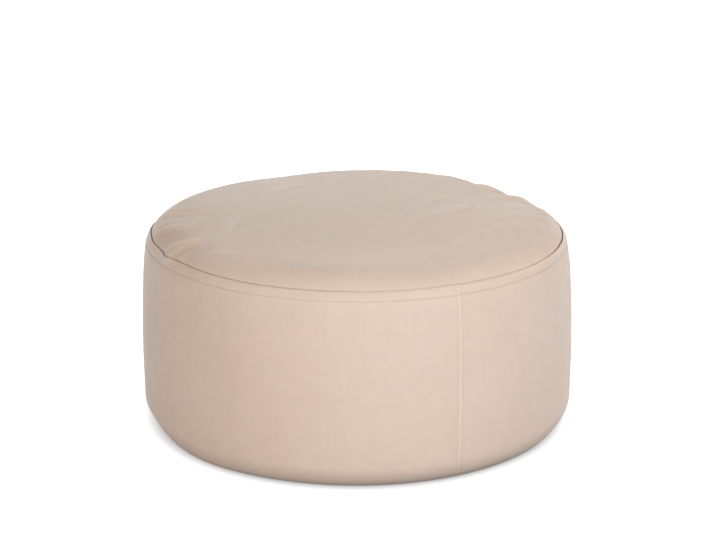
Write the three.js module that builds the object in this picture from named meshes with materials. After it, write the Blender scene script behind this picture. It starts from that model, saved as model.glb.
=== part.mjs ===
// A round pouf in a sewn cloth cover, blown up firm by the air inside it.
// Millimetres, +Z up, the front towards -Y. The origin is the middle of the base, on the floor.
// An azimuth is in degrees, counterclockwise from +X as seen from above.

import * as THREE from "three";

// Driving dimensions
const OUTER_RADIUS = 265;
const SEAM_RADIUS = 251.4;
const SEAM_HEIGHT = 229.8;
const CROWN_HEIGHT = 8;
const FLOOR_RADIUS = 251.7;

// Side wall
const CORNER_HEIGHT = 25;
const CORNER_POWER = 1.2;
const CORNER_STEPS = 7;
const BULGE_HEIGHT = 60;
const BARREL_DRAW = 7;
const SHOULDER_POWER = 16;
const WALL_HEIGHTS = [60, 95, 130, 160, 185, 205];

// Topstitch line, a shallow groove round the wall below the top seam
const STITCH_HEIGHT = 219.2;
const STITCH_HALF_WIDTH = 1.4;
const STITCH_DEPTH = 0.5;

// Upright seam that closes the wall's strip, a raised ridge: offsets along the wall from its middle
const CLOSING_SEAM_AZIMUTH = 295.7;
const CLOSING_SEAM_RIDGE = [
  { offset: -5, height: 0 },
  { offset: -2.4, height: 0 },
  { offset: -1.2, height: 0.7 },
  { offset: 0, height: 1 },
  { offset: 1.2, height: 0.7 },
  { offset: 2.4, height: 0 },
  { offset: 5, height: 0 },
];

// Top seam: the two edges turn down side by side into a narrow valley
const GAP = 0.3;
const VALLEY_DEPTH = 1.8;
const SEAT_DEPTH = 3;
const WALL_LIP = [
  { out: 3.4, down: 5 },
  { out: 1.9, down: 1.7 },
  { out: 1.1, down: 0.6 },
];
const SEAM_PULLS = [
  { azimuth: 15, spread: 30, depth: 3.8 },
  { azimuth: 202, spread: 5, depth: 2.4 },
  { azimuth: 296, spread: 12, depth: 1 },
];

// Top panel: it rolls up from the seam and then runs on as a shallow crown
const ROLL_WIDTH = 20;
const ROLL_POWER = 2.5;
const ROLL_RISE = 10.8;
const ROLL_SWELLS = [
  { azimuth: 76, spread: 24, height: 2 },
  { azimuth: 116, spread: 14, height: -2 },
  { azimuth: 28, spread: 20, height: -4.5 },
];
const PANEL_INSETS = [0.9, 2.4, 5, 9, 14, 20, 28, 40, 58, 85, 125, 180];

// Puckers of the top panel: each runs in from the seam along a radius, up or down
const PUCKER_START = 7;
const PUCKERS = [
  { azimuth: 22, reach: 46, halfWidth: 12, height: -3.4 },
  { azimuth: 30, reach: 60, halfWidth: 12, height: 1.2 },
  { azimuth: 37, reach: 50, halfWidth: 11, height: -3.2 },
  { azimuth: 44, reach: 60, halfWidth: 12, height: 1 },
  { azimuth: 50.5, reach: 46, halfWidth: 10, height: -3 },
  { azimuth: 187, reach: 78, halfWidth: 9, height: 1.8 },
  { azimuth: 194, reach: 84, halfWidth: 10, height: -2.6 },
  { azimuth: 205.5, reach: 88, halfWidth: 9, height: 2 },
  { azimuth: 212, reach: 74, halfWidth: 9, height: -1.6 },
  { azimuth: 219, reach: 96, halfWidth: 10, height: 1.2 },
];

// Soft hollows of the top panel behind its front edge
const HOLLOWS = [
  { azimuth: 249, spread: 15, inset: 46, halfWidth: 22, depth: 2.2 },
  { azimuth: 291, spread: 13, inset: 44, halfWidth: 20, depth: 0.9 },
];

// Under the cover cloth the filling is smooth
const FILLING_RISE = 6;
const FILLING_INSETS = [GAP, 20, 60, 140];

// Base panel, flat, with its seam hidden underneath
const BASE_PANEL_RADIUS = 236;
const BASE_PANEL_THICKNESS = 1.6;

// Columns of faces round the pouf, closer where the top panel puckers
const COLUMN_STEP = 3.75;
const FINE_COLUMN_STEP = 1.875;
const FINE_SECTORS = [
  { from: 11.25, to: 60 },
  { from: 180, to: 225 },
];

const CLOTH_COLOUR = 0xd9c5b4;
const BASE_COLOUR = 0xcdb9a8;
const CLOTH_ROUGHNESS = 0.9;

const radians = (degrees) => (degrees * Math.PI) / 180;

// The shorter way round from one azimuth to another, in degrees
function turn(from, to) {
  return ((((to - from + 180) % 360) + 360) % 360) - 180;
}

const bell = (x) => Math.exp(-x * x);

// Radius of the top seam, drawn in where the stitching puckers
function seamRadius(azimuth) {
  const drawnIn = SEAM_PULLS.reduce(
    (sum, pull) => sum + pull.depth * bell(turn(pull.azimuth, azimuth) / pull.spread),
    0,
  );
  return SEAM_RADIUS - drawnIn;
}

// Height of the ridge over the wall's closing seam
function ridgeHeight(azimuth) {
  const offset = radians(turn(CLOSING_SEAM_AZIMUTH, azimuth)) * OUTER_RADIUS;
  const rows = CLOSING_SEAM_RIDGE;
  const next = rows.findIndex((row) => row.offset >= offset);
  if (next <= 0) return 0;
  const share = (offset - rows[next - 1].offset) / (rows[next].offset - rows[next - 1].offset);
  return THREE.MathUtils.lerp(rows[next - 1].height, rows[next].height, share);
}

// Radius of the wall above its bottom corner: a slight barrel that draws in fast at the shoulder
function wallRadius(height, azimuth) {
  const up = Math.max(0, (height - BULGE_HEIGHT) / (SEAM_HEIGHT - BULGE_HEIGHT));
  const lip = seamRadius(azimuth) + WALL_LIP.at(-1).out;
  const shoulderDraw = OUTER_RADIUS - BARREL_DRAW - lip;
  return OUTER_RADIUS - BARREL_DRAW * up ** 2 - shoulderDraw * up ** SHOULDER_POWER;
}

// Height of the puckers and hollows of the top panel at a distance in from its seam
function relief(inset, azimuth) {
  const arc = (row) => radians(turn(row.azimuth, azimuth)) * (SEAM_RADIUS - inset);
  const puckers = PUCKERS.reduce((sum, row) => {
    const along = inset / row.reach;
    const fade = along < 1 ? (1 - along ** 2) ** 2 : 0;
    const start = 1 - Math.exp(-inset / PUCKER_START);
    return sum + row.height * fade * start * bell(arc(row) / row.halfWidth);
  }, 0);
  const hollows = HOLLOWS.reduce((sum, row) => {
    const round = bell(turn(row.azimuth, azimuth) / row.spread);
    return sum + row.depth * round * bell((inset - row.inset) / row.halfWidth);
  }, 0);
  return puckers - hollows;
}

// Share of the roll's rise that is reached at a distance in from the seam
function rolled(inset) {
  return 1 - (1 - THREE.MathUtils.clamp(inset / ROLL_WIDTH, 0, 1)) ** ROLL_POWER;
}

const crowned = (inset) => CROWN_HEIGHT * (1 - (1 - inset / SEAM_RADIUS) ** 2);

// Height of the top panel's upper face
function panelTop(inset, azimuth) {
  const outward = (1 - inset / SEAM_RADIUS) ** 2;
  const rise = ROLL_SWELLS.reduce(
    (sum, row) => sum + outward * row.height * bell(turn(row.azimuth, azimuth) / row.spread),
    ROLL_RISE,
  );
  return SEAM_HEIGHT + rise * rolled(inset) + crowned(inset) + relief(inset, azimuth);
}

// Height of the smooth face that the top panel's cloth lies on, level just inside the seam
function fillingTop(inset) {
  return SEAM_HEIGHT - SEAT_DEPTH - GAP + FILLING_RISE * rolled(inset - GAP) + crowned(inset);
}

// A closed body of rings round the Z axis, between a point on the axis below and one above.
// Each ring is a function of azimuth that gives a radius and a height.
function ringBody(azimuths, low, rings, high) {
  const points = [[0, 0, low]];
  for (const ring of rings) {
    for (const azimuth of azimuths) {
      const [radius, height] = ring(azimuth);
      const angle = radians(azimuth);
      points.push([radius * Math.cos(angle), radius * Math.sin(angle), height]);
    }
  }
  points.push([0, 0, high]);

  const count = azimuths.length;
  const faces = [];
  for (let i = 0; i < count; i++) {
    const j = (i + 1) % count;
    faces.push(0, 1 + j, 1 + i);
    for (let k = 0; k + 1 < rings.length; k++) {
      const below = 1 + k * count;
      const above = below + count;
      faces.push(below + i, below + j, above + j, below + i, above + j, above + i);
    }
    const last = 1 + (rings.length - 1) * count;
    faces.push(last + i, last + j, points.length - 1);
  }
  const geometry = new THREE.BufferGeometry();
  geometry.setAttribute("position", new THREE.Float32BufferAttribute(points.flat(), 3));
  geometry.setIndex(faces);
  geometry.computeVertexNormals();
  return geometry;
}

function cloth(colour) {
  return new THREE.MeshStandardMaterial({ color: colour, roughness: CLOTH_ROUGHNESS, metalness: 0 });
}

function piece(name, geometry, colour) {
  const mesh = new THREE.Mesh(geometry, cloth(colour));
  mesh.name = name;
  return mesh;
}

// The columns' azimuths, the same for each piece so that its edges run even with its neighbour's,
// with closer ones over the ridge of the closing seam
function columnAzimuths() {
  const azimuths = CLOSING_SEAM_RIDGE.map(
    (row) => CLOSING_SEAM_AZIMUTH + THREE.MathUtils.radToDeg(row.offset / OUTER_RADIUS),
  );
  let azimuth = 0;
  while (azimuth < 360) {
    const at = azimuth;
    const clear = Math.abs(turn(CLOSING_SEAM_AZIMUTH, at)) > COLUMN_STEP / 2;
    const fine = FINE_SECTORS.some((sector) => at >= sector.from && at < sector.to);
    if (clear) azimuths.push(at);
    azimuth += fine ? FINE_COLUMN_STEP : COLUMN_STEP;
  }
  return azimuths.sort((a, b) => a - b);
}

// The wall's bottom corner, from the floor up to its full radius
function cornerRings() {
  const rings = [];
  for (let step = 0; step <= CORNER_STEPS; step++) {
    const angle = (step / CORNER_STEPS) * (Math.PI / 2);
    const out = Math.sin(angle) ** CORNER_POWER;
    const height = CORNER_HEIGHT * (1 - Math.max(0, Math.cos(angle)) ** CORNER_POWER);
    const radius = THREE.MathUtils.lerp(FLOOR_RADIUS, OUTER_RADIUS, out);
    rings.push((azimuth) => [radius + out * ridgeHeight(azimuth), height]);
  }
  return rings;
}

// The filled wall: its underside round the base panel, its outer face, and the seat of the top panel
function sideWall(azimuths) {
  const seatFloor = BASE_PANEL_THICKNESS + GAP;
  const recess = BASE_PANEL_RADIUS + GAP;
  const face = (height, depth) => (azimuth) => [
    wallRadius(height, azimuth) + ridgeHeight(azimuth) - depth,
    height,
  ];
  const rings = [
    () => [recess, seatFloor],
    () => [recess, 0],
    ...cornerRings(),
    ...WALL_HEIGHTS.map((height) => face(height, 0)),
    face(STITCH_HEIGHT - STITCH_HALF_WIDTH, 0),
    face(STITCH_HEIGHT, STITCH_DEPTH),
    face(STITCH_HEIGHT + STITCH_HALF_WIDTH, 0),
    ...WALL_LIP.map((row) => (azimuth) => [
      seamRadius(azimuth) + row.out + ridgeHeight(azimuth) / 2,
      SEAM_HEIGHT - row.down,
    ]),
    (azimuth) => [seamRadius(azimuth) + GAP / 2, SEAM_HEIGHT - VALLEY_DEPTH],
    (azimuth) => [seamRadius(azimuth) + GAP / 2, fillingTop(0)],
    ...FILLING_INSETS.map((inset) => (azimuth) => [seamRadius(azimuth) - inset, fillingTop(inset)]),
  ];
  const geometry = ringBody(azimuths, seatFloor, rings, fillingTop(SEAM_RADIUS));
  return piece("side_wall", geometry, CLOTH_COLOUR);
}

// The cloth of the top: its underside on the filling, its turned-down edge, and its puckered face
function topPanel(azimuths) {
  const edge = (azimuth) => seamRadius(azimuth) - GAP / 2;
  const underside = [...FILLING_INSETS].reverse();
  const rings = [
    ...underside.map((inset) => (azimuth) => [seamRadius(azimuth) - inset, fillingTop(inset) + GAP]),
    (azimuth) => [edge(azimuth), fillingTop(0) + GAP],
    (azimuth) => [edge(azimuth), SEAM_HEIGHT - VALLEY_DEPTH],
    ...PANEL_INSETS.map((inset) => (azimuth) => [
      seamRadius(azimuth) - inset,
      panelTop(inset, azimuth),
    ]),
  ];
  const low = fillingTop(SEAM_RADIUS) + GAP;
  const geometry = ringBody(azimuths, low, rings, panelTop(SEAM_RADIUS, 0));
  return piece("top_panel", geometry, CLOTH_COLOUR);
}

// The flat round of cloth that the pouf stands on
function basePanel(azimuths) {
  const rings = [() => [BASE_PANEL_RADIUS, 0], () => [BASE_PANEL_RADIUS, BASE_PANEL_THICKNESS]];
  return piece("base_panel", ringBody(azimuths, 0, rings, BASE_PANEL_THICKNESS), BASE_COLOUR);
}

const columns = columnAzimuths();
const pouf = new THREE.Group();
pouf.add(sideWall(columns), topPanel(columns), basePanel(columns));

export default pouf;
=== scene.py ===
# A round inflated pouf in a sewn cloth cover, on a pale studio floor. Metres, +Z up, front towards -Y.
# An azimuth is in degrees, counterclockwise from +X as seen from above. An inset is the distance in from
# the top seam. A plain length in a table is in mm. A spread or half width is where a bell falls to 1/e, and
# a spread is in degrees.
import math

import bpy
import numpy as np
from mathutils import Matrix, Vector
from mathutils.bvhtree import BVHTree


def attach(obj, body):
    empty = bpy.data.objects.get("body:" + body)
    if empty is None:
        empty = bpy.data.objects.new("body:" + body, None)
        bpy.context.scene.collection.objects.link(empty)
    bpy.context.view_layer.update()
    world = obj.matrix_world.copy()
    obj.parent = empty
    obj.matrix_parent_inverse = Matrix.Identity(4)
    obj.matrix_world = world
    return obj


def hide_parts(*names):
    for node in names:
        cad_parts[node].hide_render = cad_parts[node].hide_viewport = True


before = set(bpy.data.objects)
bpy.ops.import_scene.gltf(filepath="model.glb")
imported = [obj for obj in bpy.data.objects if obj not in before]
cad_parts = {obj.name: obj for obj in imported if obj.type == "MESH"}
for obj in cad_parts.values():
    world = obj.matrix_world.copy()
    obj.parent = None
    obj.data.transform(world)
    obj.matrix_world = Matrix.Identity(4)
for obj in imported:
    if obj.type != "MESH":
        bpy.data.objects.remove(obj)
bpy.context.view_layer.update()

MM = 0.001

# Sizes shared with the solids
OUTER_RADIUS = 265 * MM
SEAM_RADIUS = 251.4 * MM
SEAM_HEIGHT = 229.8 * MM
CROWN_HEIGHT = 8 * MM
FLOOR_RADIUS = 250.0 * MM
CORNER_HEIGHT = 25 * MM
CORNER_POWER = 1.2
BULGE_HEIGHT = 60 * MM
BARREL_DRAW = 7 * MM
SHOULDER_POWER = 16
SHOULDER_OUT = 2.1 * MM
BASE_PANEL_RADIUS = 236 * MM
BASE_PANEL_THICKNESS = 1.6 * MM
BASE_PANEL_GAP = 0.3 * MM
ROLL_WIDTH = 20 * MM
ROLL_POWER = 2.5
ROLL_RISE = 11.5 * MM
# Towards the front the roll is wider and softer: from this sine of the azimuth down, over this span
SOFT_ROLL_WIDTH = 45 * MM
SOFT_ROLL_POWER = 3
SOFT_ROLL_FROM = 0.15
SOFT_ROLL_SPAN = 0.5

# Where the stitching draws the top seam in: azimuth, spread, depth
SEAM_PULLS = [
    (15, 30, 3.8), (179, 6, -1.5), (200.5, 4, 1.5), (208.2, 2.0, -3.6), (217, 11, 2.7), (296, 12, 1.0),
]

# Swells of the top panel's rolled edge: azimuth, spread, height
ROLL_SWELLS = [(74, 26, 2.6), (116, 12, -2.4), (30, 17, -4.5), (165, 18, 1.4)]

# Where the wall stands out: azimuth, spread, middle height, half height, how far out
WALL_SWELLS = [(184, 50, 105, 160, 2.1), (352, 30, 180, 45, -1.0), (350, 28, 209, 14, -1.3)]
# They and the cloth's unevenness fade out over this height below the seam
SHOULDER_FADE = 12 * MM

# Where the foot of the wall stands out: azimuth, spread, how far out
FOOT_SWELLS = [(222, 30, 3.4), (227, 12, 2.8), (200, 9, -1.0), (326, 20, 1.0)]

# Where the foot's round corner is flatter: azimuth, spread, how much more power
CORNER_CUTS = [(198, 14, 0.38), (337, 14, 0.2)]

# Puckers that run in from the seam: azimuth, lean in degrees at the inner end, reach, half width, start,
# height
PUCKERS = [
    (4, 2, 52, 4, 4, 1.4),
    (8.5, 2, 44, 4, 4, -1.5),
    (13, 3, 40, 5, 5, 1.0),
    (17.5, 4, 46, 14, 8, -3.9),
    (27.5, 3, 60, 12, 7, 3.2),
    (34.8, 3, 50, 14, 8, -3.5),
    (43, 2, 60, 12, 7, 2.0),
    (48.5, 2, 46, 14, 8, -2.9),
    (58, 2, 60, 9, 6, 1.0),
    (172, -2, 60, 9, 5, 0.8),
    (182, -2, 60, 6, 5, -1.0),
    (190.2, 1, 60, 4.2, 3, 2.4),
    (195.4, 3, 60, 11, 5, -2.0),
    (200, 3, 60, 10.5, 4, -1.8),
    (205, 5.5, 72, 3.2, 2.2, 2.6),
    (210.5, 4, 64, 8, 4, -2.3),
    (217, 2, 60, 9, 8, -1.2),
    (350, 2, 50, 4, 5, 0.8),
    (356, 2, 44, 4, 4, -1.0),
]

# Creases further in: azimuth, inset, heading in degrees, half length, half width, height
CREASES = [
    (198, 92, 77, 50, 5, 0.45),
    (226, 38, 355, 24, 5, 0.9),
    (126, 91, 50, 34, 5, 0.6),
    (66, 230, 55, 33, 5, 0.6),
    (47, 213, 50, 27, 4.5, 0.6),
    (31, 150, 63, 38, 5, 0.7),
    (356, 159, 41, 23, 4.5, 0.8),
    (15, 117, 50, 32, 5, 1.0),
    (344, 69, 47, 24, 5, 0.6),
    (194, 99, 71, 30, 4.5, 0.4),
    (349, 25, 101, 22, 3.5, 0.35),
    (342, 17, 100, 21, 3.5, 0.3),
]

# Many fainter creases, most of them along the same slant: how many, then the range of each value
FAINT_CREASES = 70
FAINT_SEED = 5
FAINT_AREA_SHARE = (0.01, 0.9)
FAINT_HEADING = (52, 14)
FAINT_HALF_LENGTH = (14, 40)
FAINT_HALF_WIDTH = (2.5, 6)
FAINT_HEIGHT = (0.08, 0.3)

# How a crease wavers along X and along Y: depth, length
CREASE_WAVER_X = (3, 17)
CREASE_WAVER_Y = (2, 11)
# The hollow beside a crease's crest: share of its height, and how many half widths to the side
CREASE_HOLLOW = 0.6
CREASE_HOLLOW_OFFSET = 1.7
CREASE_FREE_EDGE = 12 * MM

# Soft hollows behind the front edge: azimuth, spread, inset, half width, depth
HOLLOWS = [(249, 15, 46, 22, 2.2), (291, 13, 44, 20, 0.9), (284, 40, 100, 48, -1.8)]

# Painted light and shade of the top, where it is painted lighter or darker as shares of its colour: azimuth,
# spread, inset, half width, share
TOP_PAINTED_LIGHT = [
    (272, 38, 70, 38, 0.068), (338, 24, 6, 22, -0.075), (203, 14, 16, 22, -0.06), (182, 20, 34, 34, -0.04),
    (258, 18, 10, 12, 0.055), (251, 8, 42, 8, -0.025), (165, 12, 22, 18, -0.035), (125, 50, 40, 80, -0.038),
    (258, 16, 25, 9, 0.03), (299, 9, 30, 14, 0.014), (268, 3, 18, 18, 0.015),
]

# Painted light and shade of the wall, in the same way: azimuth, spread, height, half height, share
WALL_PAINTED_LIGHT = [
    (265, 60, 225, 5, -0.014), (270, 35, 209, 9, -0.012), (326, 16, 224, 14, -0.035),
    (213, 10, 224, 12, -0.035), (222, 22, 30, 45, -0.02), (312, 16, 25, 40, -0.024),
    (262, 24, 219.2, 1.6, 0.035),
]

# Painted warm light: where the top and the wall are painted warmer, and cooler where a share is below zero,
# in the same terms
TOP_PAINTED_WARM_LIGHT = [(253, 15, 26, 18, 1.5), (197, 9, 14, 14, 0.7)]
WALL_PAINTED_WARM_LIGHT = [(243, 22, 85, 110, 0.45), (270, 26, 210, 16, -0.5), (283, 11, 150, 60, -0.35)]

# Painted shade of the top's folds: how much lighter a crest and darker a valley is painted, for each mm of
# its height, and the limits
PUCKER_PAINTED_SHADE = 0.03
CREASE_PAINTED_SHADE = 0.05
PAINTED_SHADE_LIMITS = (-0.13, 0.09)

# The shadow line of the top seam: how dark, and where it is darker and wider: azimuth, spread, how much more
LINE_DARK = 0.22
LINE_DARKER = [(206, 30, 0.46), (247, 22, 0.28), (261, 9, 0.14), (350, 17, 0.75), (165, 25, 0.35)]
LINE_WIDTH = 0.5 * MM
LINE_WIDER = [(350, 14, 0.8), (200, 24, 0.3), (263, 12, 0.12), (301, 15, 0.65)]
LINE_GAIN = 1.2
# On the wall's lip the line fades out over this span, up to this far out from the seam, in mm
LINE_LIP_REACH = 0.75
LINE_LIP_SPAN = 0.5
# Painted shade of the cloth hidden inside the seam
HIDDEN_SHADE = 0.4

# The closing seam of the wall's strip, a raised ridge between two shallow creases
CLOSING_SEAM_AZIMUTH = 295.7
RIDGE_HEIGHT = 0.7 * MM
RIDGE_HALF_WIDTH = 1.25 * MM
# A painted highlight along the ridge
RIDGE_PAINTED_HIGHLIGHT = 0.07
SIDE_CREASE_DEPTH = 0.15 * MM
SIDE_CREASE_OFFSET = 3.4 * MM
SIDE_CREASE_HALF_WIDTH = 1.5 * MM
# Painted shade in the two creases beside the ridge
SIDE_CREASE_PAINTED_SHADE = 0.02
# How fast the ridge fades out under the foot
RIDGE_FOOT_FADE = 1.6
# The small jog that the closing seam makes in the top seam: how far, and its width and spread in degrees
SEAM_JOG = 0.5 * MM
SEAM_JOG_WIDTH = 0.7
SEAM_JOG_SPREAD = 4

# The groove that the topstitch draws into the wall, and its thread
STITCH_HEIGHT = 219.2 * MM
STITCH_DEPTH = 0.5 * MM
STITCH_HALF_WIDTH = 0.9 * MM
STITCH_PITCH = 3.4 * MM
STITCH_LENGTH = 2.9 * MM
STITCH_UNEVEN = 0.12
STITCH_SEED = 21
THREAD_RADIUS = 0.28 * MM
THREAD_SIDES = 6
THREAD_STEPS = 7
# Where the way round the stitching is measured
FRONT_AZIMUTH = 270.0
# A stitch in thread radii: how high its arch is, how deep its ends lie and how thick they are
ARCH_RISE = 1.5
ARCH_SINK = 0.7
ARCH_POWER = 4
END_THICKNESS = 0.55

# The wall's top lip, turned down into the seam: out from the seam, down from it, share of the ridge kept
WALL_LIP = [
    (3.55, 3.3, 1), (3.0, 2.4, 1), (2.4, 1.65, 0.9), (1.85, 1.05, 0.8), (1.35, 0.6, 0.7), (0.9, 0.32, 0.5),
    (0.52, 0.3, 0.3), (0.27, 0.6, 0.1), (0.12, 1.3, 0), (0.05, 2.3, 0), (0.05, 3.3, 0),
]
# The lip wavers up and down, on its rows above a depth, and swells in and out, near the seam
LIP_WAVE = 0.12 * MM
LIP_WAVE_DOWN_TO = 2.2
LIP_SWELL = 0.1
LIP_SWELL_REACH = 3.2
LIP_SWELL_SPAN = 1.5
# How deep the wall's hidden seat lies, how far above it the top panel starts, and the panel's drooping edge
SEAT_DEPTH = 3.3 * MM
TOP_PANEL_LIFT = 0.2 * MM
EDGE_DROOP = 3.3 * MM
EDGE_DROOP_WIDTH = 0.42 * MM

# Unevenness of the cloth, as sums of waves: how many, and about how high their sum peaks
RIPPLE_WAVES = 14
RIPPLE_PEAK = 1.6
# Seed, then the shortest and longest wave round the pouf and up it, in metres
SHORT_RIPPLES = (3, (0.05, 0.13), (0.35, 1.2))
LONG_RIPPLES = (4, (0.15, 0.4), (0.2, 0.6))
TUCK_RIPPLES = (5, (0.009, 0.022), (0.06, 0.2))
LIP_WAVE_RIPPLES = (6, (0.012, 0.04), (1, 2))
LIP_SWELL_RIPPLES = (7, (0.02, 0.06), (1, 2))
SEAM_RIPPLES = (8, (0.014, 0.05), (1, 2))
SHORT_RIPPLE_HEIGHT = 0.16 * MM
LONG_RIPPLE_HEIGHT = 0.32 * MM
# Fine tucks at the top of the wall: height, from where up, and over what height they start
TUCK_HEIGHT = 0.1 * MM
TUCKS_FROM = 196 * MM
TUCKS_RISE = 20 * MM
SEAM_WAVER = 0.22 * MM

# Columns, closer together at the closing seam and where the top puckers: from, to, how many
SEAM_BAND = 2.2
COLUMNS = [
    (60, 176, 128),
    (176, 226, 166),
    (226, CLOSING_SEAM_AZIMUTH - SEAM_BAND, 76),
    (CLOSING_SEAM_AZIMUTH - SEAM_BAND, CLOSING_SEAM_AZIMUTH + SEAM_BAND, 60),
    (CLOSING_SEAM_AZIMUTH + SEAM_BAND, 358, 66),
    (358, 420, 116),
]
# Rows of the foot's corner, of the wall by height and of the top panel by inset: from, to, how many
CORNER_ROWS = 20
WALL_ROWS = [(27 * MM, 212 * MM, 52), (212 * MM, 225.9 * MM, 26)]
INSET_ROWS = [
    (0.05 * MM, 2 * MM, 12), (2 * MM, 24 * MM, 26), (24 * MM, 110 * MM, 40), (110 * MM, 235 * MM, 26),
]
# Rings of the hidden seat, and of the face above the base panel
SEAT_RADII = (80 * MM, 160 * MM, 240 * MM)
UNDER_RADII = (100 * MM, 200 * MM, BASE_PANEL_RADIUS + BASE_PANEL_GAP)
BASE_COLUMN_STEP = 2.0
# The base panel from its underside round to its upper side: radius, height
BASE_ROWS = [
    (60, 0.3), (140, 0.3), (200, 0.25), (225, 0.15), (232, 0), (235, 0), (235.8, 0.25), (236, 0.8),
    (235.8, 1.4), (235, 1.6), (150, 1.6), (60, 1.6),
]
BASE_MIDDLE_HEIGHT = 0.3 * MM

# The cloth simulation of the top panel, on a disc of rings of 6, 12, 18 and more points
SIM_RINGS = 56
SIM_FRAMES = 24
SIM_SETTINGS = {
    "quality": 6,
    "mass": 0.25,
    "tension_stiffness": 60,
    "compression_stiffness": 60,
    "shear_stiffness": 20,
    "bending_stiffness": 0.35,
    "tension_damping": 15,
    "compression_damping": 15,
    "shear_damping": 15,
    "bending_damping": 2,
    "air_damping": 4,
    "pin_stiffness": 60,
    "use_pressure": True,
    "uniform_pressure_force": 6,
}
# The bumps that the disc starts with
SIM_SEED = 11
SIM_BUMPS = 24
SIM_BUMP_TURNS = (0, 6.3)
SIM_BUMP_WAVES = (30, 110)
SIM_BUMP_HEIGHT = 0.12 * MM
# Shares of the radius: bumps end before the rim, the rim's points are held, rays stay just inside it.
# The rays come down from a height in metres.
SIM_BUMPS_TO = 0.995
SIM_RIM_FROM = 0.999
SIM_RAYS_TO = 0.996
SIM_RAYS_FROM = 1
# How much longer the panel's arc over the crown is than its radius in plan
SIM_ARC_EXTRA = 3.2 * MM
# How much more cloth than needed the edge takes in: everywhere, and more (azimuth, spread, share)
SIM_EASE_ALL = 0.003
SIM_EASE = [(20, 34, 0.016), (200, 26, 0.022), (255, 40, 0.004)]

# How strongly its folds show: everywhere, and more (azimuth, spread, share)
FOLDS_ALL = 0.14
FOLDS = [(20, 40, 0.4), (204, 24, 0.16)]
# Folds longer or shorter than these round the pouf are left out. They are found at steps in degrees.
FOLD_STEP = 0.5
LONGEST_FOLD = 70 * MM
SHORTEST_FOLD = 7 * MM
SMALLEST_RING = 10 * MM
# The deepest fold, and the edge by the seam where folds fade in
FOLD_LIMIT = 1.6 * MM
FOLD_FREE_EDGE = 5 * MM

# Colours of the materials
CLOTH_COLOUR = (0.72, 0.578, 0.476)
BASE_COLOUR = (0.64, 0.52, 0.43)
THREAD_COLOUR = (0.5, 0.4, 0.33)

THREAD_PITCH = 0.62 * MM
# Noises of the cloth: scale, detail, roughness
THREAD_WAVER_NOISE = (180, 2.0, 0.5)
SLUB_NOISE = (1.0, 3.0, 0.6)
MOTTLE_NOISE = (55, 4.0, 0.6)
CLOUD_NOISE = (9, 2.0, 0.5)
WARMTH_NOISE = (11, 2.0, 0.5)
FINE_WARMTH_NOISE = (38, 2.0, 0.5)
# How fine the slubs are across and along their threads, for those up the wall and those round it
SLUBS_UP = (620, 16)
SLUBS_ROUND = (22, 560)
SLUBS_UP_SHARE = 0.62
SLUBS_ROUND_SHARE = 0.38
# How far the threads waver, in metres
THREAD_WAVER = 0.0006
# How far each changes the shade
SLUB_SHADE = 0.09
MOTTLE_SHADE = 0.1
CLOUD_SHADE = 0.06
WEAVE_SHADE = 0.07
# How far each changes the warmth, which takes away green and blue; the last scales the painted warm light
# that the meshes carry
BROAD_WARMTH = 0.06
FINE_WARMTH = 0.05
PATCH_WARMTH = 0.06
# Red, green and blue: share of the warmth taken away, power of the painted shade
CHANNELS = [(0.0, 1.0), (0.6, 1.25), (1.0, 1.45)]
CLOTH_ROUGHNESS = 0.88
SLUB_ROUGHNESS = 0.25
# Bumps: distance, strength
WEAVE_BUMP = (0.05 * MM, 0.5)
SLUB_BUMP = (0.1 * MM, 0.5)
MOTTLE_BUMP = (0.3 * MM, 0.3)
CLOTH_SPECULAR = 0.25
SHEEN_WEIGHT = 0.3
SHEEN_ROUGHNESS = 0.3
SHEEN_TINT = (1, 0.98, 0.97, 1)

# The sewing thread, in the same terms
TWIST_NOISE = (2600, 1.0, 0.5)
TWIST_SHADE = 0.3
TWIST_BUMP = (0.06 * MM, 0.6)
THREAD_ROUGHNESS = 0.7
THREAD_SHEEN = 0.2

# Camera, fitted to the photo's seam and outline: distance back and up, degrees down, lens and sensor in mm
CAMERA_BACK = 1992.7 * MM
CAMERA_UP = 801.3 * MM
CAMERA_PITCH = 17.44
CAMERA_LENS = 84.97
CAMERA_SENSOR = 36.0
CAMERA_CLIP_END = 50

# Floor
WHITE = (1, 1, 1, 1)
FLOOR_SIZE = 60
FLOOR_ROUGHNESS = 0.9
FLOOR_SPECULAR = 0.2
# The floor that the camera sees: its depth, paint and glow
SEEN_FLOOR_HEIGHT = -0.2 * MM
SEEN_FLOOR_PAINT = (0.45, 0.45, 0.45, 1)
SEEN_FLOOR_GLOW = 1.0
# The floor that throws light back at the pouf: its depth, its paint far off and its darker paint under the
# pouf, painted shade that darkens the pouf's foot
BOUNCE_FLOOR_HEIGHT = -0.7 * MM
BOUNCE_FLOOR_PAINT = 0.6
BOUNCE_FLOOR_NEAR_PAINT = 0.09
# Distances from the middle, in metres, over which the seen floor's glow rises out of its painted contact
# shadow, and the bounce floor's paint rises out of its painted dark
SHADOW_REACH = (0.233, 0.28)
DARK_UNDER = (0.25, 0.36)
# Where the floor's painted contact shadow reaches further: azimuth, spread, how much further
SHADOW_LOBES = [(227, 22, 3.5), (325, 13, 2.2)]
# To the sides the painted dark under the pouf reaches less far
DARK_SIDEWAYS = 1.15

# Strength of the light from all round
WORLD_STRENGTH = 0.005
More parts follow.
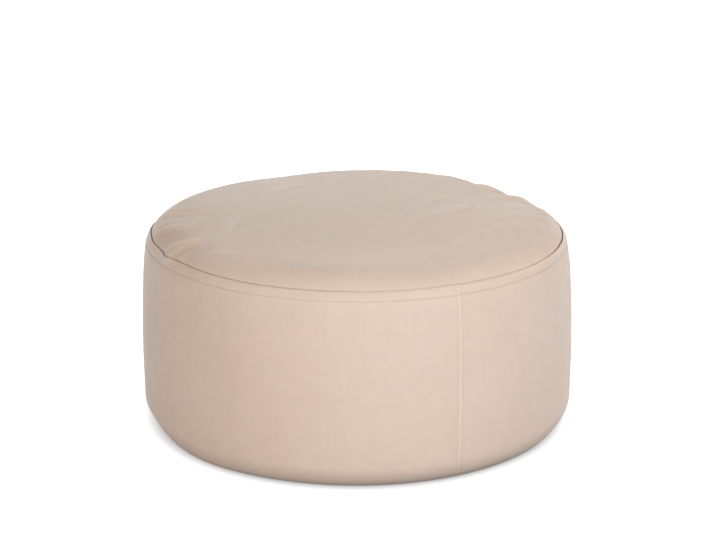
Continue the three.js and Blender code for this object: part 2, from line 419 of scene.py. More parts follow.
# Soft boxes: name, azimuth, elevation, watts, colour
LIGHTS = [
    ("front", 265, 10, 36, (1, 0.99, 1)),
    ("front_right_low", 305, 14, 12.2, (0.8, 0.88, 1)),
    ("front_right", 305, 42, 17, (0.97, 0.99, 1)),
    ("right_high", 325, 42, 18, (0.94, 0.98, 1)),
    ("right", 15, 42, 13.5, (1, 0.98, 0.95)),
    ("back_right", 45, 25, 31, (0.85, 0.91, 1)),
    ("back", 90, 25, 19, (0.84, 0.85, 1)),
    ("back_left", 150, 10, 25, (0.88, 0.98, 1)),
    ("left_front", 220, 10, 14.3, (1, 0.85, 0.79)),
    ("top", 270, 88, 10.9, (1, 0.92, 0.71)),
    ("rim_left", 117, 3, 28, (0.9, 0.96, 1)),
    ("rim_right", 63, 3, 9, (0.9, 0.96, 1)),
]
# How far off the boxes stand, their sides, and the height that they face
LIGHT_DISTANCE = 3.0
LIGHT_SIZE = (1.6, 1.4)
RIM_LIGHT_SIZE = (1.6, 0.25)
LIGHT_TARGET = 120 * MM


def bell(x):
    return np.exp(-x * x)


def smooth(x):
    x = np.clip(x, 0, 1)
    return x * x * (3 - 2 * x)


def turn_from(azimuth, start):
    """The shorter turn from one azimuth to others, in degrees."""
    return (azimuth - start + 180) % 360 - 180


def lobes(rows, azimuth):
    """The sum of bells round the pouf, from rows of azimuth, spread and amount."""
    return sum(amount * bell(turn_from(azimuth, at) / spread) for at, spread, amount in rows)


def patches(rows, place, azimuth):
    """The sum of bells on a face, from rows of azimuth, spread, middle, half width and amount."""
    return sum(
        amount * bell(turn_from(azimuth, at) / spread) * bell((place - middle * MM) / (half * MM))
        for at, spread, middle, half, amount in rows
    )


def seam_radius(azimuth):
    return SEAM_RADIUS - lobes(SEAM_PULLS, azimuth) * MM


def foot_radius(azimuth):
    return FLOOR_RADIUS + lobes(FOOT_SWELLS, azimuth) * MM


def wall_radius(height, azimuth):
    """Radius of the wall above its bottom corner: a slight barrel that draws in fast at the shoulder."""
    up = np.clip((height - BULGE_HEIGHT) / (SEAM_HEIGHT - BULGE_HEIGHT), 0, None)
    shoulder = OUTER_RADIUS - BARREL_DRAW - seam_radius(azimuth) - SHOULDER_OUT
    swell = patches(WALL_SWELLS, height, azimuth) * MM
    swell = swell * smooth(height / CORNER_HEIGHT) * smooth((SEAM_HEIGHT - height) / SHOULDER_FADE)
    return OUTER_RADIUS + swell - BARREL_DRAW * up**2 - shoulder * up**SHOULDER_POWER


def rolled(inset, azimuth):
    """Share of the roll's rise that is reached at a distance in from the seam."""
    soft = smooth((SOFT_ROLL_FROM - np.sin(np.radians(azimuth))) / SOFT_ROLL_SPAN)
    width = ROLL_WIDTH + (SOFT_ROLL_WIDTH - ROLL_WIDTH) * soft
    power = ROLL_POWER + (SOFT_ROLL_POWER - ROLL_POWER) * soft
    return 1 - (1 - np.clip(inset / width, 0, 1)) ** power


def puckers(inset, azimuth):
    total = np.zeros(np.broadcast(inset, azimuth).shape)
    for at, lean, reach, half_width, start, height in PUCKERS:
        along = np.clip(inset / (reach * MM), 0, 1)
        arc = np.radians(turn_from(azimuth, at + lean * along)) * (SEAM_RADIUS - inset)
        fade = (1 - along**2) ** 2 * (1 - np.exp(-np.clip(inset, 0, None) / (start * MM)))
        total += height * MM * fade * bell(arc / (half_width * MM))
    return total


def faint_creases():
    random = np.random.RandomState(FAINT_SEED)
    rows = []
    for _ in range(FAINT_CREASES):
        at = random.uniform(0, 360)
        inset = (1 - math.sqrt(random.uniform(*FAINT_AREA_SHARE))) * SEAM_RADIUS / MM
        heading, half_length = random.normal(*FAINT_HEADING), random.uniform(*FAINT_HALF_LENGTH)
        half_width, height = random.uniform(*FAINT_HALF_WIDTH), random.uniform(*FAINT_HEIGHT)
        rows.append((at, inset, heading, half_length, half_width, height))
    return rows


def waver(place, wave, phase):
    depth, length = wave
    return depth * MM * np.sin(place / (length * MM) + phase)


def creases(inset, azimuth):
    total = np.zeros(np.broadcast(inset, azimuth).shape)
    x = (SEAM_RADIUS - inset) * np.cos(np.radians(azimuth))
    y = (SEAM_RADIUS - inset) * np.sin(np.radians(azimuth))
    for at, middle, heading, half_length, half_width, height in CREASES + faint_creases():
        reach, turn = SEAM_RADIUS - middle * MM, math.radians(at)
        dx, dy = x - reach * math.cos(turn), y - reach * math.sin(turn)
        c, s = math.cos(math.radians(heading)), math.sin(math.radians(heading))
        bent = waver(dx, CREASE_WAVER_X, at) + waver(dy, CREASE_WAVER_Y, middle)
        across = (dy * c - dx * s + bent) / (half_width * MM)
        along = (dx * c + dy * s) / (half_length * MM)
        crest = bell(across) - CREASE_HOLLOW * bell(across + CREASE_HOLLOW_OFFSET)
        total += height * MM * bell(along) * crest
    return total * smooth(inset / CREASE_FREE_EDGE)


def relief(inset, azimuth):
    """Height of the puckers, creases and hollows of the top panel."""
    return puckers(inset, azimuth) + creases(inset, azimuth) - patches(HOLLOWS, inset, azimuth) * MM


def panel_top(inset, azimuth):
    outward = (1 - inset / SEAM_RADIUS) ** 2
    rise = ROLL_RISE + outward * lobes(ROLL_SWELLS, azimuth) * MM
    crown = CROWN_HEIGHT * (1 - outward)
    return SEAM_HEIGHT + rise * rolled(inset, azimuth) + crown + relief(inset, azimuth)


def ripples(kind, azimuths, heights):
    """Smooth unevenness round the pouf, about -1 to 1."""
    seed, around, up = kind
    random = np.random.RandomState(seed)
    total = np.zeros(np.broadcast(azimuths, heights).shape)
    for _ in range(RIPPLE_WAVES):
        waves = max(1, round(2 * math.pi * OUTER_RADIUS / random.uniform(*around)))
        climb = 2 * math.pi / random.uniform(*up) * random.choice([-1, 1])
        phase = random.uniform(0, 2 * math.pi)
        total = total + np.cos(waves * np.radians(azimuths) + climb * heights + phase)
    return total / math.sqrt(RIPPLE_WAVES / 2) / RIPPLE_PEAK


def closing_seam_arc(azimuths):
    return np.radians(turn_from(azimuths, CLOSING_SEAM_AZIMUTH)) * OUTER_RADIUS


def ridge_shape(azimuths):
    return bell(closing_seam_arc(azimuths) / RIDGE_HALF_WIDTH)


def side_crease_shape(azimuths):
    arc = closing_seam_arc(azimuths)
    return sum(bell((arc - side * SIDE_CREASE_OFFSET) / SIDE_CREASE_HALF_WIDTH) for side in (1, -1))


def ridge_profile(azimuths):
    return RIDGE_HEIGHT * ridge_shape(azimuths) - SIDE_CREASE_DEPTH * side_crease_shape(azimuths)


def wall_surface(height, azimuths):
    """The wall's outer radius with its groove, its ridge and the cloth's own unevenness."""
    groove = STITCH_DEPTH * bell((height - STITCH_HEIGHT) / STITCH_HALF_WIDTH)
    uneven = SHORT_RIPPLE_HEIGHT * ripples(SHORT_RIPPLES, azimuths, height)
    uneven = uneven + LONG_RIPPLE_HEIGHT * ripples(LONG_RIPPLES, azimuths, height)
    fade = np.clip(height / CORNER_HEIGHT, 0, 1) * np.clip((SEAM_HEIGHT - height) / SHOULDER_FADE, 0, 1)
    band = np.clip((height - TUCKS_FROM) / TUCKS_RISE, 0, 1) ** 2
    tucks = TUCK_HEIGHT * band * ripples(TUCK_RIPPLES, azimuths, height)
    return wall_radius(height, azimuths) + ridge_profile(azimuths) - groove + uneven * fade + tucks


def seam_line(azimuths):
    """The seam's radius with the small waver of a sewn line and the jog at the closing seam."""
    turn = turn_from(azimuths, CLOSING_SEAM_AZIMUTH)
    jog = SEAM_JOG * np.tanh(turn / SEAM_JOG_WIDTH) * bell(turn / SEAM_JOG_SPREAD)
    return seam_radius(azimuths) + SEAM_WAVER * ripples(SEAM_RIPPLES, azimuths, 0) + jog


def line_strength(azimuths):
    return LINE_GAIN * (LINE_DARK + lobes(LINE_DARKER, azimuths))


def line_width(azimuths):
    return LINE_WIDTH * (1 + lobes(LINE_WIDER, azimuths))


def spaced(*stretches):
    """Points along stretches of start, end and steps, each without its end, and then the last end."""
    parts = [np.linspace(start, end, steps, endpoint=False) for start, end, steps in stretches]
    return np.concatenate([*parts, [stretches[-1][1]]])


def column_azimuths():
    return np.sort(spaced(*COLUMNS)[:-1] % 360)


def add_object(name, data):
    obj = bpy.data.objects.new(name, data)
    bpy.context.scene.collection.objects.link(obj)
    return obj


def smooth_shaded(mesh):
    mesh.polygons.foreach_set("use_smooth", [True] * len(mesh.polygons))


def ring_mesh(name, azimuths, rows, low, high, shades=None, warmths=None, plan=False):
    """A closed mesh of rings round Z, between two points on the axis. A row is a ring's radii and heights.

    Its UV map is in metres: round and up the cloth, or as seen from above where plan is set.
    shades and warmths, ring by ring, are the painted light and shade and the painted warm light of the cloth
    at each point.
    """
    count, rings = len(azimuths), len(rows)
    radii = np.array([np.broadcast_to(r, (count,)) for r, _ in rows])
    heights = np.array([np.broadcast_to(z, (count,)) for _, z in rows])
    a = np.radians(azimuths)
    points = np.stack([radii * np.cos(a), radii * np.sin(a), heights], -1).reshape(-1, 3)
    points = np.vstack([points, [[0, 0, low]], [[0, 0, high]]])
    i, k = np.meshgrid(np.arange(count), np.arange(rings - 1))
    j = (i + 1) % count
    quads = [k * count + i, k * count + j, (k + 1) * count + j, (k + 1) * count + i]
    quads = np.stack(quads, -1).reshape(-1, 4)
    first, last = np.arange(count), np.arange(count) + (rings - 1) * count
    foot = np.stack([np.roll(first, -1), first, np.full(count, rings * count)], -1)
    head = np.stack([last, np.roll(last, -1), np.full(count, rings * count + 1)], -1)
    mesh = bpy.data.meshes.new(name)
    mesh.from_pydata(points.tolist(), [], quads.tolist() + foot.tolist() + head.tolist())
    smooth_shaded(mesh)

    corners = np.concatenate([quads.ravel(), foot.ravel(), head.ravel()])
    if plan:
        uv = points[corners][:, :2]
    else:
        steps = np.hypot(np.diff(radii.mean(1)), np.diff(heights.mean(1)))
        along = np.concatenate([[0], np.cumsum(steps)])
        turn = np.concatenate([a, [a[0] + 2 * math.pi]]) * OUTER_RADIUS
        square_u = np.stack([turn[i], turn[i + 1], turn[i + 1], turn[i]], -1).ravel()
        square_v = np.stack([along[k], along[k], along[k + 1], along[k + 1]], -1).ravel()
        caps = points[np.concatenate([foot.ravel(), head.ravel()])][:, :2]
        uv = np.vstack([np.stack([square_u, square_v], -1), caps])
    mesh.uv_layers.new(name="cloth").data.foreach_set("uv", uv.astype(np.float32).ravel())
    for kind, plain, values in (("shade", 1, shades), ("warmth", 0, warmths)):
        level = np.full(len(points), plain, np.float32)
        if values is not None:
            level[:-2] = np.array(values).ravel()
        mesh.attributes.new(kind, "FLOAT", "POINT").data.foreach_set("value", level)
    mesh.update()
    return add_object(name, mesh)


def corner_rows(azimuths, foot, ridge):
    """The foot's round corner, from the floor up to the wall."""
    power = CORNER_POWER + lobes(CORNER_CUTS, azimuths)
    rows = []
    for turn in np.radians(np.linspace(0, 90, CORNER_ROWS)):
        out = math.sin(turn) ** power
        height = CORNER_HEIGHT * (1 - abs(math.cos(turn)) ** power)
        plain = wall_radius(height, azimuths)
        uneven = wall_surface(height, azimuths) - plain - ridge
        kept = np.clip(1 + RIDGE_FOOT_FADE * (out - 1), 0, 1)
        rows.append((foot + (plain - foot) * out + ridge * kept + uneven, height))
    return rows


def make_wall():
    azimuths = column_azimuths()
    count = len(azimuths)
    ridge, foot = ridge_profile(azimuths), foot_radius(azimuths)
    under = BASE_PANEL_THICKNESS + BASE_PANEL_GAP
    seat = SEAM_HEIGHT - SEAT_DEPTH

    rows = [(r, under) for r in UNDER_RADII]
    rows += [(UNDER_RADII[-1] * (1 - share) + foot * share, 0.0) for share in (0, 1 / 3, 2 / 3)]
    rows += corner_rows(azimuths, foot, ridge)
    rows += [(wall_surface(height, azimuths), height) for height in spaced(*WALL_ROWS)]
    # Painted light of the wall: a painted highlight on the ridge, painted shade in its creases, then the
    # wall's painted light patches and painted warm light
    ridge_painted_light = 1 + RIDGE_PAINTED_HIGHLIGHT * ridge_shape(azimuths) - SIDE_CREASE_PAINTED_SHADE * side_crease_shape(azimuths)
    shades = [ridge_painted_light * (1 + patches(WALL_PAINTED_LIGHT, height, azimuths)) for _, height in rows]
    warmths = [patches(WALL_PAINTED_WARM_LIGHT, height, azimuths) for _, height in rows]

    seam = seam_line(azimuths)
    wave = LIP_WAVE * ripples(LIP_WAVE_RIPPLES, azimuths, 0)
    swell = LIP_SWELL * ripples(LIP_SWELL_RIPPLES, azimuths, 0)
    for out, down, kept in WALL_LIP:
        height = SEAM_HEIGHT - down * MM
        swollen = 1 + swell * np.clip((LIP_SWELL_REACH - out) / LIP_SWELL_SPAN, 0, 1)
        rows.append((seam + out * MM * swollen + ridge * kept, height + wave * (down < LIP_WAVE_DOWN_TO)))
        line = line_strength(azimuths) * np.clip((LINE_LIP_REACH - out) / LINE_LIP_SPAN, 0, 1)
        shades.append(ridge_painted_light * (1 + patches(WALL_PAINTED_LIGHT, height, azimuths)) * (1 - line))
        warmths.append(patches(WALL_PAINTED_WARM_LIGHT, height, azimuths))
    for r in reversed(SEAT_RADII):
        rows.append((r, seat))
        shades.append(np.full(count, HIDDEN_SHADE))
        warmths.append(np.zeros(count))
    return ring_mesh("wall_cover", azimuths, rows, under, seat, shades, warmths)


def make_top():
    azimuths = column_azimuths()
    count = len(azimuths)
    insets = spaced(*INSET_ROWS)
    folds = kept_folds(simulated_heights(insets, azimuths), insets, azimuths)
    seam = seam_line(azimuths)
    low = SEAM_HEIGHT - SEAT_DEPTH + TOP_PANEL_LIFT
    rows = [(r, low) for r in SEAT_RADII]
    shades = [np.full(count, HIDDEN_SHADE)] * len(rows)
    warmths = [np.zeros(count)] * len(rows)
    for inset, fold in zip(insets, folds):
        droop = EDGE_DROOP * np.exp(-inset / EDGE_DROOP_WIDTH)
        rows.append((seam * (1 - inset / SEAM_RADIUS), panel_top(inset, azimuths) - droop + fold))
        # Painted shade: crests lighter and valleys darker, the top seam's painted shadow line, painted light
        # patches and painted warm light
        fold_painted_shade = PUCKER_PAINTED_SHADE * (puckers(inset, azimuths) + fold) + CREASE_PAINTED_SHADE * creases(inset, azimuths)
        line = 1 - line_strength(azimuths) * bell(inset / line_width(azimuths))
        shades.append(line * (1 + np.clip(fold_painted_shade / MM, *PAINTED_SHADE_LIMITS) + patches(TOP_PAINTED_LIGHT, inset, azimuths)))
        warmths.append(patches(TOP_PAINTED_WARM_LIGHT, inset, azimuths))
    middle = float(rows[-1][1].mean())
    return ring_mesh("top_cover", azimuths, rows, low, middle, shades, warmths, plan=True)


def make_base():
    azimuths = np.arange(0, 360, BASE_COLUMN_STEP)
    rows = [(r * MM, height * MM) for r, height in BASE_ROWS]
    return ring_mesh("base_cover", azimuths, rows, BASE_MIDDLE_HEIGHT, BASE_PANEL_THICKNESS, plan=True)


def make_topstitch():
    """The topstitch: one short arched length of thread after another, in its groove."""
    around = 2 * math.pi * float(wall_radius(STITCH_HEIGHT, FRONT_AZIMUTH))
    number = round(around / STITCH_PITCH)
    random = np.random.RandomState(STITCH_SEED)
    along = np.linspace(-0.5, 0.5, THREAD_STEPS)
    arch = np.clip(1 - (2 * along) ** ARCH_POWER, 0, 1)
    thick = THREAD_RADIUS * (END_THICKNESS + (1 - END_THICKNESS) * arch)
    points, faces = [], []
    for n in range(number):
        base = len(points)
        tilt = random.uniform(-STITCH_UNEVEN, STITCH_UNEVEN) * MM
        lift = random.uniform(-STITCH_UNEVEN, STITCH_UNEVEN) * MM
        azimuth = (n + 0.5) * 360 / number + along * STITCH_LENGTH / around * 360
        height = STITCH_HEIGHT + lift + tilt * along * 2
        radius = wall_surface(height, azimuth) + THREAD_RADIUS * (ARCH_RISE * arch - ARCH_SINK)
        for k in range(THREAD_STEPS):
            t = math.radians(azimuth[k])
            for m in range(THREAD_SIDES):
                q = 2 * math.pi * m / THREAD_SIDES
                r = radius[k] + thick[k] * math.cos(q)
                points.append((r * math.cos(t), r * math.sin(t), height[k] + thick[k] * math.sin(q)))
        for k in range(THREAD_STEPS - 1):
            for m in range(THREAD_SIDES):
                a = base + k * THREAD_SIDES + m
                b = base + k * THREAD_SIDES + (m + 1) % THREAD_SIDES
                faces.append((a, a + THREAD_SIDES, b + THREAD_SIDES, b))
        last = base + (THREAD_STEPS - 1) * THREAD_SIDES
        faces.append(tuple(base + m for m in range(THREAD_SIDES)))
        faces.append(tuple(last + m for m in reversed(range(THREAD_SIDES))))
    mesh = bpy.data.meshes.new("topstitch")
    mesh.from_pydata(points, [], faces)
    smooth_shaded(mesh)
    mesh.update()
    return add_object("topstitch", mesh)


def disc_mesh():
    """Points of a disc of radius 1 in rings of 6, 12, 18 ... points, and its triangles."""
    points, faces, inner = [(0.0, 0.0)], [], [0]
    for k in range(1, SIM_RINGS + 1):
        outer = list(range(len(points), len(points) + 6 * k))
        for i in range(6 * k):
            turn = 2 * math.pi * i / (6 * k)
            points.append((k / SIM_RINGS * math.cos(turn), k / SIM_RINGS * math.sin(turn)))
        for side in range(6):
            for i in range(k):
                a = outer[(side * k + i) % (6 * k)]
                b = outer[(side * k + i + 1) % (6 * k)]
                c = inner[(side * (k - 1) + i) % len(inner)]
                faces.append((a, b, c))
                if i < k - 1:
                    d = inner[(side * (k - 1) + i + 1) % len(inner)]
                    faces.append((c, b, d))
        inner = outer
    return np.array(points), faces


def small_bumps(disc):
    random = np.random.RandomState(SIM_SEED)
    turns = random.uniform(*SIM_BUMP_TURNS, SIM_BUMPS)
    waves = random.uniform(*SIM_BUMP_WAVES, SIM_BUMPS)
    phases = random.uniform(*SIM_BUMP_TURNS, SIM_BUMPS)
    return sum(
        np.cos(disc @ (np.array([math.cos(turn), math.sin(turn)]) * wave) + phase)
        for turn, wave, phase in zip(turns, waves, phases)
    )


def simulated_cloth(start, cut, faces, held):
    """Points of a cloth that starts at one shape, was cut to another, is held at its rim and blown up."""
    mesh = bpy.data.meshes.new("panel_trial")
    mesh.from_pydata(start.tolist(), [], faces)
    trial = add_object("panel_trial", mesh)
    trial.shape_key_add(name="Basis")
    rest = trial.shape_key_add(name="cut")
    rest.data.foreach_set("co", cut.ravel())
    trial.vertex_groups.new(name="rim").add(held, 1, "REPLACE")
    cloth = trial.modifiers.new("cloth", "CLOTH")
    for key, value in SIM_SETTINGS.items():
        setattr(cloth.settings, key, value)
    cloth.settings.vertex_group_mass = "rim"
    cloth.settings.rest_shape_key = rest
    cloth.settings.effector_weights.gravity = 0
    cloth.collision_settings.use_collision = False
    cloth.collision_settings.use_self_collision = False
    cloth.point_cache.frame_start, cloth.point_cache.frame_end = 1, SIM_FRAMES
    scene = bpy.context.scene
    for number in range(1, SIM_FRAMES + 1):
        scene.frame_set(number)
    solved = trial.evaluated_get(bpy.context.evaluated_depsgraph_get()).to_mesh()
    co = np.empty(len(solved.vertices) * 3, np.float32)
    solved.vertices.foreach_get("co", co)
    scene.frame_set(1)
    bpy.data.objects.remove(trial)
    return co.reshape(-1, 3).astype(float)


def simulated_heights(insets, azimuths):
    """Heights of the blown-up top panel at insets by azimuths, from a cloth simulation.

    A flat disc a little too large for the seam is held at its rim and blown up, so the spare
    cloth gathers into folds that run in from the seam.
    """
    disc, faces = disc_mesh()
    share = np.hypot(disc[:, 0], disc[:, 1])
    turn = np.degrees(np.arctan2(disc[:, 1], disc[:, 0]))
    inset = (1 - share) * SEAM_RADIUS
    dome = panel_top(inset, turn) - relief(inset, turn)
    bumps = SIM_BUMP_HEIGHT * small_bumps(disc) * (share < SIM_BUMPS_TO)
    start = np.column_stack([disc * seam_radius(turn)[:, None], dome + bumps])
    ease = SIM_EASE_ALL + lobes(SIM_EASE, turn)
    spread = disc * (1 + ease * share**2)[:, None] * (SEAM_RADIUS + SIM_ARC_EXTRA)
    cut = np.column_stack([spread, np.zeros(len(disc))])
    held = [int(i) for i in np.nonzero(share > SIM_RIM_FROM)[0]]
    tree = BVHTree.FromPolygons(simulated_cloth(start, cut, faces, held).tolist(), faces)

    a, line = np.radians(azimuths), seam_radius(azimuths)
    heights = np.zeros((len(insets), len(azimuths)))
    for row, inset in zip(heights, insets):
        reach = np.minimum(line * (1 - inset / SEAM_RADIUS), line * SIM_RAYS_TO)
        for i in range(len(azimuths)):
            above = Vector((reach[i] * math.cos(a[i]), reach[i] * math.sin(a[i]), SIM_RAYS_FROM))
            hit = tree.ray_cast(above, Vector((0, 0, -1)))[0]
            row[i] = hit.z if hit else np.nan
        row[np.isnan(row)] = np.nanmean(row) if not np.isnan(row).all() else 0
    return heights


def kept_folds(heights, insets, azimuths):
    """The folds in simulated heights, without the dome and with a limit on their depth."""
    turn = np.arange(0, 360, FOLD_STEP)
    folds = []
    for inset, row in zip(insets, heights):
        spectrum = np.fft.rfft(np.interp(turn, azimuths, row, period=360))
        order = np.arange(len(spectrum))
        around = 2 * math.pi * max(SEAM_RADIUS - inset, SMALLEST_RING)
        spectrum *= 1 - bell(order / (around / LONGEST_FOLD))
        spectrum *= bell(order / (around / SHORTEST_FOLD))
        fold = FOLD_LIMIT * np.tanh(np.fft.irfft(spectrum, len(turn)) / FOLD_LIMIT)
        folds.append(np.interp(azimuths, turn, fold, period=360) * min(1, inset / FOLD_FREE_EDGE))
    return np.array(folds) * (FOLDS_ALL + lobes(FOLDS, azimuths))


class Nodes:
    """A short way to build a material's node tree."""

    def __init__(self, name):
        self.material = bpy.data.materials.new(name)
        self.material.use_nodes = True
        self.tree = self.material.node_tree
        self.shader = self.tree.nodes["Principled BSDF"]

    def add(self, kind, inputs=(), **settings):
        node = self.tree.nodes.new(kind)
        for key, value in settings.items():
            setattr(node, key, value)
        for key, value in dict(inputs).items():
            self.put(node.inputs[key], value)
        return node

    def put(self, socket, value):
        if isinstance(value, bpy.types.NodeSocket):
            self.tree.links.new(value, socket)
        else:
            socket.default_value = value

    def set_shader(self, **values):
        """Sets sockets of the shader, named with _ for a space."""
        for key, value in values.items():
            self.put(self.shader.inputs[key.replace("_", " ")], value)

    def math(self, operation, *values):
        return self.add("ShaderNodeMath", dict(enumerate(values)), operation=operation).outputs[0]

    def total(self, *values):
        result = values[0]
        for value in values[1:]:
            result = self.math("ADD", result, value)
        return result

    def swing(self, level, width):
        """A level between 0 and 1, centred on 0 and scaled to a width."""
        return self.math("MULTIPLY", self.math("SUBTRACT", level, 0.5), width)

    def vector_math(self, operation, output, *values):
        node = self.add("ShaderNodeVectorMath", dict(enumerate(values)), operation=operation)
        return node.outputs[output]

    def noise(self, vector, kind):
        scale, detail, rough = kind
        inputs = {"Vector": vector, "Scale": scale, "Detail": detail, "Roughness": rough}
        return self.add("ShaderNodeTexNoise", inputs).outputs["Fac"]

    def bump(self, height, kind, **under):
        distance, strength = kind
        inputs = {"Height": height, "Distance": distance, "Strength": strength, **under}
        return self.add("ShaderNodeBump", inputs).outputs[0]

    def attribute(self, name):
        return self.add("ShaderNodeAttribute", attribute_name=name).outputs["Fac"]

    def colour(self, channels):
        return self.add("ShaderNodeCombineColor", dict(enumerate(channels))).outputs[0]


def cloth_material(name, colour):
    """Fine plain weave: crossing threads, slubs along both ways, soft mottling and a light bloom."""
    n = Nodes(name)
    uv = n.add("ShaderNodeUVMap", uv_map="cloth").outputs[0]
    u, v = n.add("ShaderNodeSeparateXYZ", {"Vector": uv}).outputs[:2]

    # Threads: an over-and-under of sines, its lines wavering a little
    aside = n.swing(n.noise(uv, THREAD_WAVER_NOISE), THREAD_WAVER)
    warp, weft = (
        n.math("SINE", n.math("MULTIPLY", n.math("ADD", way, aside), math.pi / THREAD_PITCH))
        for way in (u, v)
    )
    weave = n.math("MULTIPLY_ADD", n.math("MULTIPLY", warp, weft), 0.5, 0.5)

    # Slubs: thick and thin places along the threads, long up the wall and short round it
    slubs_up, slubs_round = (
        n.noise(n.vector_math("MULTIPLY", 0, uv, (*fineness, 1)), SLUB_NOISE)
        for fineness in (SLUBS_UP, SLUBS_ROUND)
    )
    slubs = n.total(
        n.math("MULTIPLY", slubs_up, SLUBS_UP_SHARE), n.math("MULTIPLY", slubs_round, SLUBS_ROUND_SHARE)
    )
    mottle = n.noise(uv, MOTTLE_NOISE)

    # Colour: the shade is 1 plus a few hundredths either way, and warmth takes away green and blue
    shade = n.total(
        n.swing(slubs, SLUB_SHADE),
        n.swing(mottle, MOTTLE_SHADE),
        n.swing(n.noise(uv, CLOUD_NOISE), CLOUD_SHADE),
        n.swing(weave, WEAVE_SHADE),
        1.0,
    )
    warmth = n.total(
        n.swing(n.noise(uv, WARMTH_NOISE), BROAD_WARMTH),
        n.swing(n.noise(uv, FINE_WARMTH_NOISE), FINE_WARMTH),
        # The mesh's warmth attribute: painted warm light
        n.math("MULTIPLY", n.attribute("warmth"), PATCH_WARMTH),
    )
    # The mesh's shade attribute: painted light and shade
    painted = n.attribute("shade")
    levels = []
    for (taken, power), channel in zip(CHANNELS, colour):
        level = n.math("SUBTRACT", shade, n.math("MULTIPLY", warmth, taken))
        level = n.math("MULTIPLY", level, n.math("POWER", painted, power))
        levels.append(n.math("MULTIPLY", level, channel))
    rough = n.total(n.swing(slubs, SLUB_ROUGHNESS), CLOTH_ROUGHNESS)

    normal = n.bump(weave, WEAVE_BUMP)
    normal = n.bump(slubs, SLUB_BUMP, Normal=normal)
    normal = n.bump(mottle, MOTTLE_BUMP, Normal=normal)
    n.set_shader(Base_Color=n.colour(levels), Roughness=n.math("MINIMUM", rough, 1.0), Normal=normal)
    n.set_shader(Specular_IOR_Level=CLOTH_SPECULAR)
    n.set_shader(Sheen_Weight=SHEEN_WEIGHT, Sheen_Roughness=SHEEN_ROUGHNESS, Sheen_Tint=SHEEN_TINT)
    return n.material


def thread_material(name, colour):
    """Twisted sewing thread, a shade darker than the cloth."""
    n = Nodes(name)
    position = n.add("ShaderNodeNewGeometry").outputs["Position"]
    twist = n.noise(position, TWIST_NOISE)
    shade = n.total(n.swing(twist, TWIST_SHADE), 1.0)
    n.set_shader(Base_Color=n.colour([n.math("MULTIPLY", shade, channel) for channel in colour]))
    n.set_shader(Normal=n.bump(twist, TWIST_BUMP), Roughness=THREAD_ROUGHNESS, Sheen_Weight=THREAD_SHEEN)
    return n.material


def make_camera():
    data = bpy.data.cameras.new("camera")
    data.lens = CAMERA_LENS
    data.sensor_width = CAMERA_SENSOR
    data.clip_end = CAMERA_CLIP_END
    camera = add_object("camera", data)
    camera.location = (0, -CAMERA_BACK, CAMERA_UP)
    camera.rotation_euler = (math.radians(90 - CAMERA_PITCH), 0, 0)
    bpy.context.scene.camera = camera


def floor_plane(name, height):
    """A square floor, its node tree, and for a point on it the position from the pouf's middle."""
    half = FLOOR_SIZE / 2
    corners = [(-half, -half, 0), (half, -half, 0), (half, half, 0), (-half, half, 0)]
    mesh = bpy.data.meshes.new(name)
    mesh.from_pydata(corners, [], [(0, 1, 2, 3)])
    floor = add_object(name, mesh)
    floor.location.z = height
    n = Nodes(name)
    n.set_shader(Roughness=FLOOR_ROUGHNESS, Specular_IOR_Level=FLOOR_SPECULAR)
    mesh.materials.append(n.material)
    return floor, n, n.add("ShaderNodeNewGeometry").outputs["Position"]


def rise(n, away, span, low, high):
    """A level that rises smoothly over a span of distances."""
    ends = {0: away, 1: span[0], 2: span[1], 3: low, 4: high}
    return n.add("ShaderNodeMapRange", ends, interpolation_type="SMOOTHSTEP").outputs[0]


def make_seen_floor():
    """The floor that the camera sees: white all round, with the pouf's contact shadow on it, partly traced
    and partly painted as a fade of its glow near the pouf.
    """
    floor, n, position = floor_plane("studio_floor", SEEN_FLOOR_HEIGHT)
    floor.visible_diffuse = floor.visible_glossy = floor.visible_shadow = False
    away = n.vector_math("LENGTH", "Value", position)
    facing = n.vector_math("NORMALIZE", 0, position)
    for azimuth, spread, further in SHADOW_LOBES:
        toward = (math.cos(math.radians(azimuth)), math.sin(math.radians(azimuth)), 0)
        lobe = n.math("MAXIMUM", n.vector_math("DOT_PRODUCT", "Value", facing, toward), 0)
        lobe = n.math("POWER", lobe, 2 / math.radians(spread) ** 2)
        away = n.math("SUBTRACT", away, n.math("MULTIPLY", lobe, further * MM))
    glow = rise(n, away, SHADOW_REACH, 0, SEEN_FLOOR_GLOW)
    n.set_shader(Base_Color=SEEN_FLOOR_PAINT, Emission_Color=WHITE, Emission_Strength=glow)


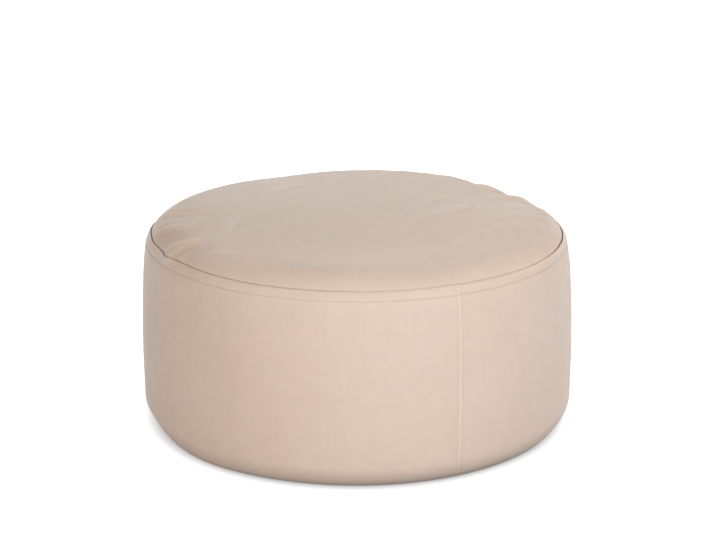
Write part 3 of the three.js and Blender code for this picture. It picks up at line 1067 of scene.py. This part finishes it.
def make_bounce_floor():
    """A grey floor, hidden from the camera, that throws light back at the pouf, painted darker under the
    pouf as painted shade on the pouf's foot.
    """
    floor, n, position = floor_plane("bounce_floor", BOUNCE_FLOOR_HEIGHT)
    floor.visible_camera = False
    away = n.vector_math("LENGTH", "Value", n.vector_math("MULTIPLY", 0, position, (DARK_SIDEWAYS, 1, 1)))
    n.set_shader(Base_Color=rise(n, away, DARK_UNDER, BOUNCE_FLOOR_NEAR_PAINT, BOUNCE_FLOOR_PAINT))


def make_lights():
    for name, azimuth, elevation, power, colour in LIGHTS:
        data = bpy.data.lights.new(name, "AREA")
        data.shape = "RECTANGLE"
        data.size, data.size_y = RIM_LIGHT_SIZE if name.startswith("rim") else LIGHT_SIZE
        data.energy = power
        data.color = colour
        a, e = math.radians(azimuth), math.radians(elevation)
        way = Vector((math.cos(a) * math.cos(e), math.sin(a) * math.cos(e), math.sin(e)))
        light = add_object(name, data)
        light.location = way * LIGHT_DISTANCE + Vector((0, 0, LIGHT_TARGET))
        light.rotation_euler = way.to_track_quat("Z", "Y").to_euler()


def make_world():
    """Nearly no light from all round, and a white background for the camera."""
    world = bpy.data.worlds.new("studio")
    world.use_nodes = True
    tree = world.node_tree
    background = tree.nodes["Background"]
    background.inputs["Color"].default_value = WHITE
    strength = tree.nodes.new("ShaderNodeMath")
    strength.operation = "MAXIMUM"
    strength.inputs[1].default_value = WORLD_STRENGTH
    tree.links.new(tree.nodes.new("ShaderNodeLightPath").outputs["Is Camera Ray"], strength.inputs[0])
    tree.links.new(strength.outputs[0], background.inputs["Strength"])
    bpy.context.scene.world = world
    bpy.context.scene.view_settings.view_transform = "Standard"


make_camera()
body_cloth = cloth_material("cover_cloth", CLOTH_COLOUR)
base_cloth = cloth_material("base_cloth", BASE_COLOUR)
thread = thread_material("thread", THREAD_COLOUR)
wall, top, base, stitching = make_wall(), make_top(), make_base(), make_topstitch()
for piece, node, slot, material in (
    (wall, "side_wall", "wall_cloth", body_cloth),
    (top, "top_panel", "top_cloth", body_cloth),
    (base, "base_panel", "base_cloth", base_cloth),
):
    piece.data.materials.append(material)
    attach(piece, "root")
    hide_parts(node)
stitching.data.materials.append(thread)
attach(stitching, "root")
make_seen_floor()
make_bounce_floor()
make_lights()
make_world()
